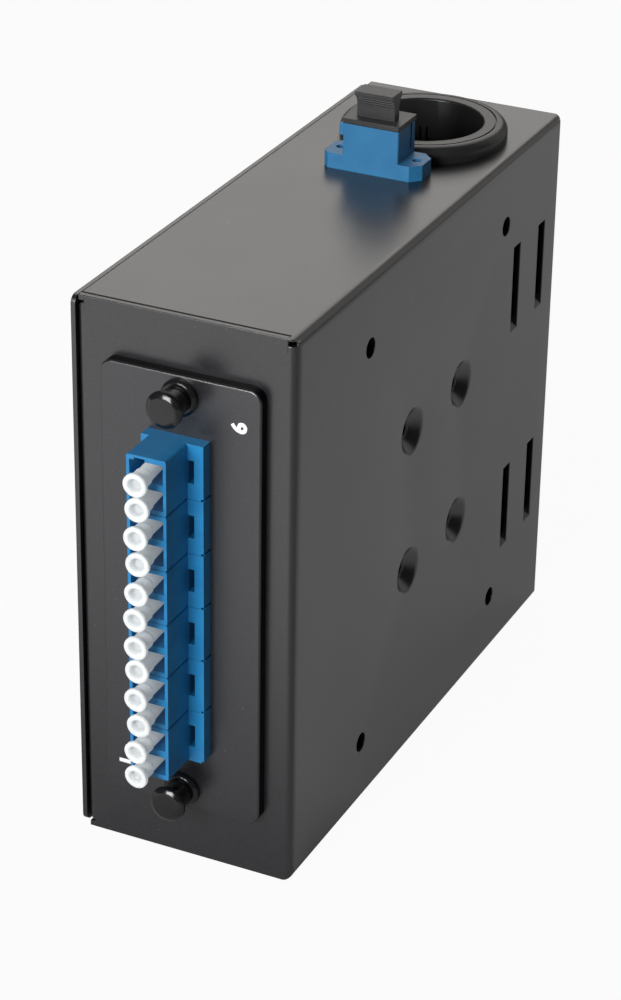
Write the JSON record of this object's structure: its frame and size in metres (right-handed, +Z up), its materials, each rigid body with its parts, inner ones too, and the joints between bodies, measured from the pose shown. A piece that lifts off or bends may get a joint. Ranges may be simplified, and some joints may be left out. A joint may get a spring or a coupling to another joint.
{
  "type": "fibre optic patch panel",
  "caption": "Narrow folded sheet-steel fibre termination box with a plunger-held plate of duplex adapters in dust caps, a multi-fibre adapter and a cable bushing on top",
  "frame": {"origin": "centre of the housing's underside", "axes": "+X to the wall with the slots, +Y from the adapter plate to the rear, +Z up"},
  "size_m": [0.054, 0.1717, 0.1545],
  "materials": {
    "housing_paint": "fine textured powder coat, satin",
    "cover_paint": "fine textured powder coat, satin",
    "plate_paint": "fine textured powder coat, satin",
    "adapter_blue": "moulded, satin",
    "top_adapter_blue": "moulded, satin",
    "cap_white": "soft translucent plastic",
    "cap_black": "moulded, satin",
    "bushing_black": "moulded, satin",
    "plunger_black": "moulded nylon, glossy",
    "spring_steel": "bright strip",
    "screw_steel": "black zinc",
    "sleeve_ceramic": "polished ceramic"
  },
  "bodies": {
    "housing": {"housing_shell": "housing_paint", "side_cover": "cover_paint", "cover_screws": "screw_steel", "top_adapter_outer": "top_adapter_blue", "top_adapter_inner": "top_adapter_blue", "top_adapter_clip": "spring_steel", "cable_bushing": "bushing_black"},
    "plate_unit": {"adapter_plate": "plate_paint", "duplex_adapter_1": "adapter_blue", "duplex_adapter_2": "adapter_blue", "duplex_adapter_3": "adapter_blue", "duplex_adapter_4": "adapter_blue", "duplex_adapter_5": "adapter_blue", "duplex_adapter_6": "adapter_blue", "alignment_sleeves_1": "sleeve_ceramic", "alignment_sleeves_2": "sleeve_ceramic", "alignment_sleeves_3": "sleeve_ceramic", "alignment_sleeves_4": "sleeve_ceramic", "alignment_sleeves_5": "sleeve_ceramic", "alignment_sleeves_6": "sleeve_ceramic", "adapter_clip_1": "spring_steel", "adapter_clip_2": "spring_steel", "adapter_clip_3": "spring_steel", "adapter_clip_4": "spring_steel", "adapter_clip_5": "spring_steel", "adapter_clip_6": "spring_steel", "upper_plunger_bush": "plunger_black", "lower_plunger_bush": "plunger_black"},
    "upper_plunger": {"upper_plunger_pin": "plunger_black"},
    "lower_plunger": {"lower_plunger_pin": "plunger_black"},
    "top_cap": {"top_dust_cap": "cap_black"},
    "cap_1": {"dust_cap_1": "cap_white"},
    "cap_2": {"dust_cap_2": "cap_white"},
    "cap_3": {"dust_cap_3": "cap_white"},
    "cap_4": {"dust_cap_4": "cap_white"},
    "cap_5": {"dust_cap_5": "cap_white"},
    "cap_6": {"dust_cap_6": "cap_white"},
    "cap_7": {"dust_cap_7": "cap_white"},
    "cap_8": {"dust_cap_8": "cap_white"},
    "cap_9": {"dust_cap_9": "cap_white"},
    "cap_10": {"dust_cap_10": "cap_white"},
    "cap_11": {"dust_cap_11": "cap_white"},
    "cap_12": {"dust_cap_12": "cap_white"}
  },
  "joints": [
    {"name": "plate_release", "type": "slide", "parent": "housing", "child": "plate_unit", "axis": [0, -1, 0], "range_m": [0, 0.02]},
    {"name": "upper_plunger_pull", "type": "slide", "parent": "plate_unit", "child": "upper_plunger", "axis": [0, -1, 0], "range_m": [0, 0.0045]},
    {"name": "lower_plunger_pull", "type": "slide", "parent": "plate_unit", "child": "lower_plunger", "axis": [0, -1, 0], "range_m": [0, 0.0045]},
    {"name": "top_cap_lift", "type": "slide", "parent": "housing", "child": "top_cap", "axis": [0, 0, 1], "range_m": [0, 0.012]},
    {"name": "cap_1_pull", "type": "slide", "parent": "plate_unit", "child": "cap_1", "axis": [0, -1, 0], "range_m": [0, 0.014]},
    {"name": "cap_2_pull", "type": "slide", "parent": "plate_unit", "child": "cap_2", "axis": [0, -1, 0], "range_m": [0, 0.014]},
    {"name": "cap_3_pull", "type": "slide", "parent": "plate_unit", "child": "cap_3", "axis": [0, -1, 0], "range_m": [0, 0.014]},
    {"name": "cap_4_pull", "type": "slide", "parent": "plate_unit", "child": "cap_4", "axis": [0, -1, 0], "range_m": [0, 0.014]},
    {"name": "cap_5_pull", "type": "slide", "parent": "plate_unit", "child": "cap_5", "axis": [0, -1, 0], "range_m": [0, 0.014]},
    {"name": "cap_6_pull", "type": "slide", "parent": "plate_unit", "child": "cap_6", "axis": [0, -1, 0], "range_m": [0, 0.014]},
    {"name": "cap_7_pull", "type": "slide", "parent": "plate_unit", "child": "cap_7", "axis": [0, -1, 0], "range_m": [0, 0.014]},
    {"name": "cap_8_pull", "type": "slide", "parent": "plate_unit", "child": "cap_8", "axis": [0, -1, 0], "range_m": [0, 0.014]},
    {"name": "cap_9_pull", "type": "slide", "parent": "plate_unit", "child": "cap_9", "axis": [0, -1, 0], "range_m": [0, 0.014]},
    {"name": "cap_10_pull", "type": "slide", "parent": "plate_unit", "child": "cap_10", "axis": [0, -1, 0], "range_m": [0, 0.014]},
    {"name": "cap_11_pull", "type": "slide", "parent": "plate_unit", "child": "cap_11", "axis": [0, -1, 0], "range_m": [0, 0.014]},
    {"name": "cap_12_pull", "type": "slide", "parent": "plate_unit", "child": "cap_12", "axis": [0, -1, 0], "range_m": [0, 0.014]}
  ]
}
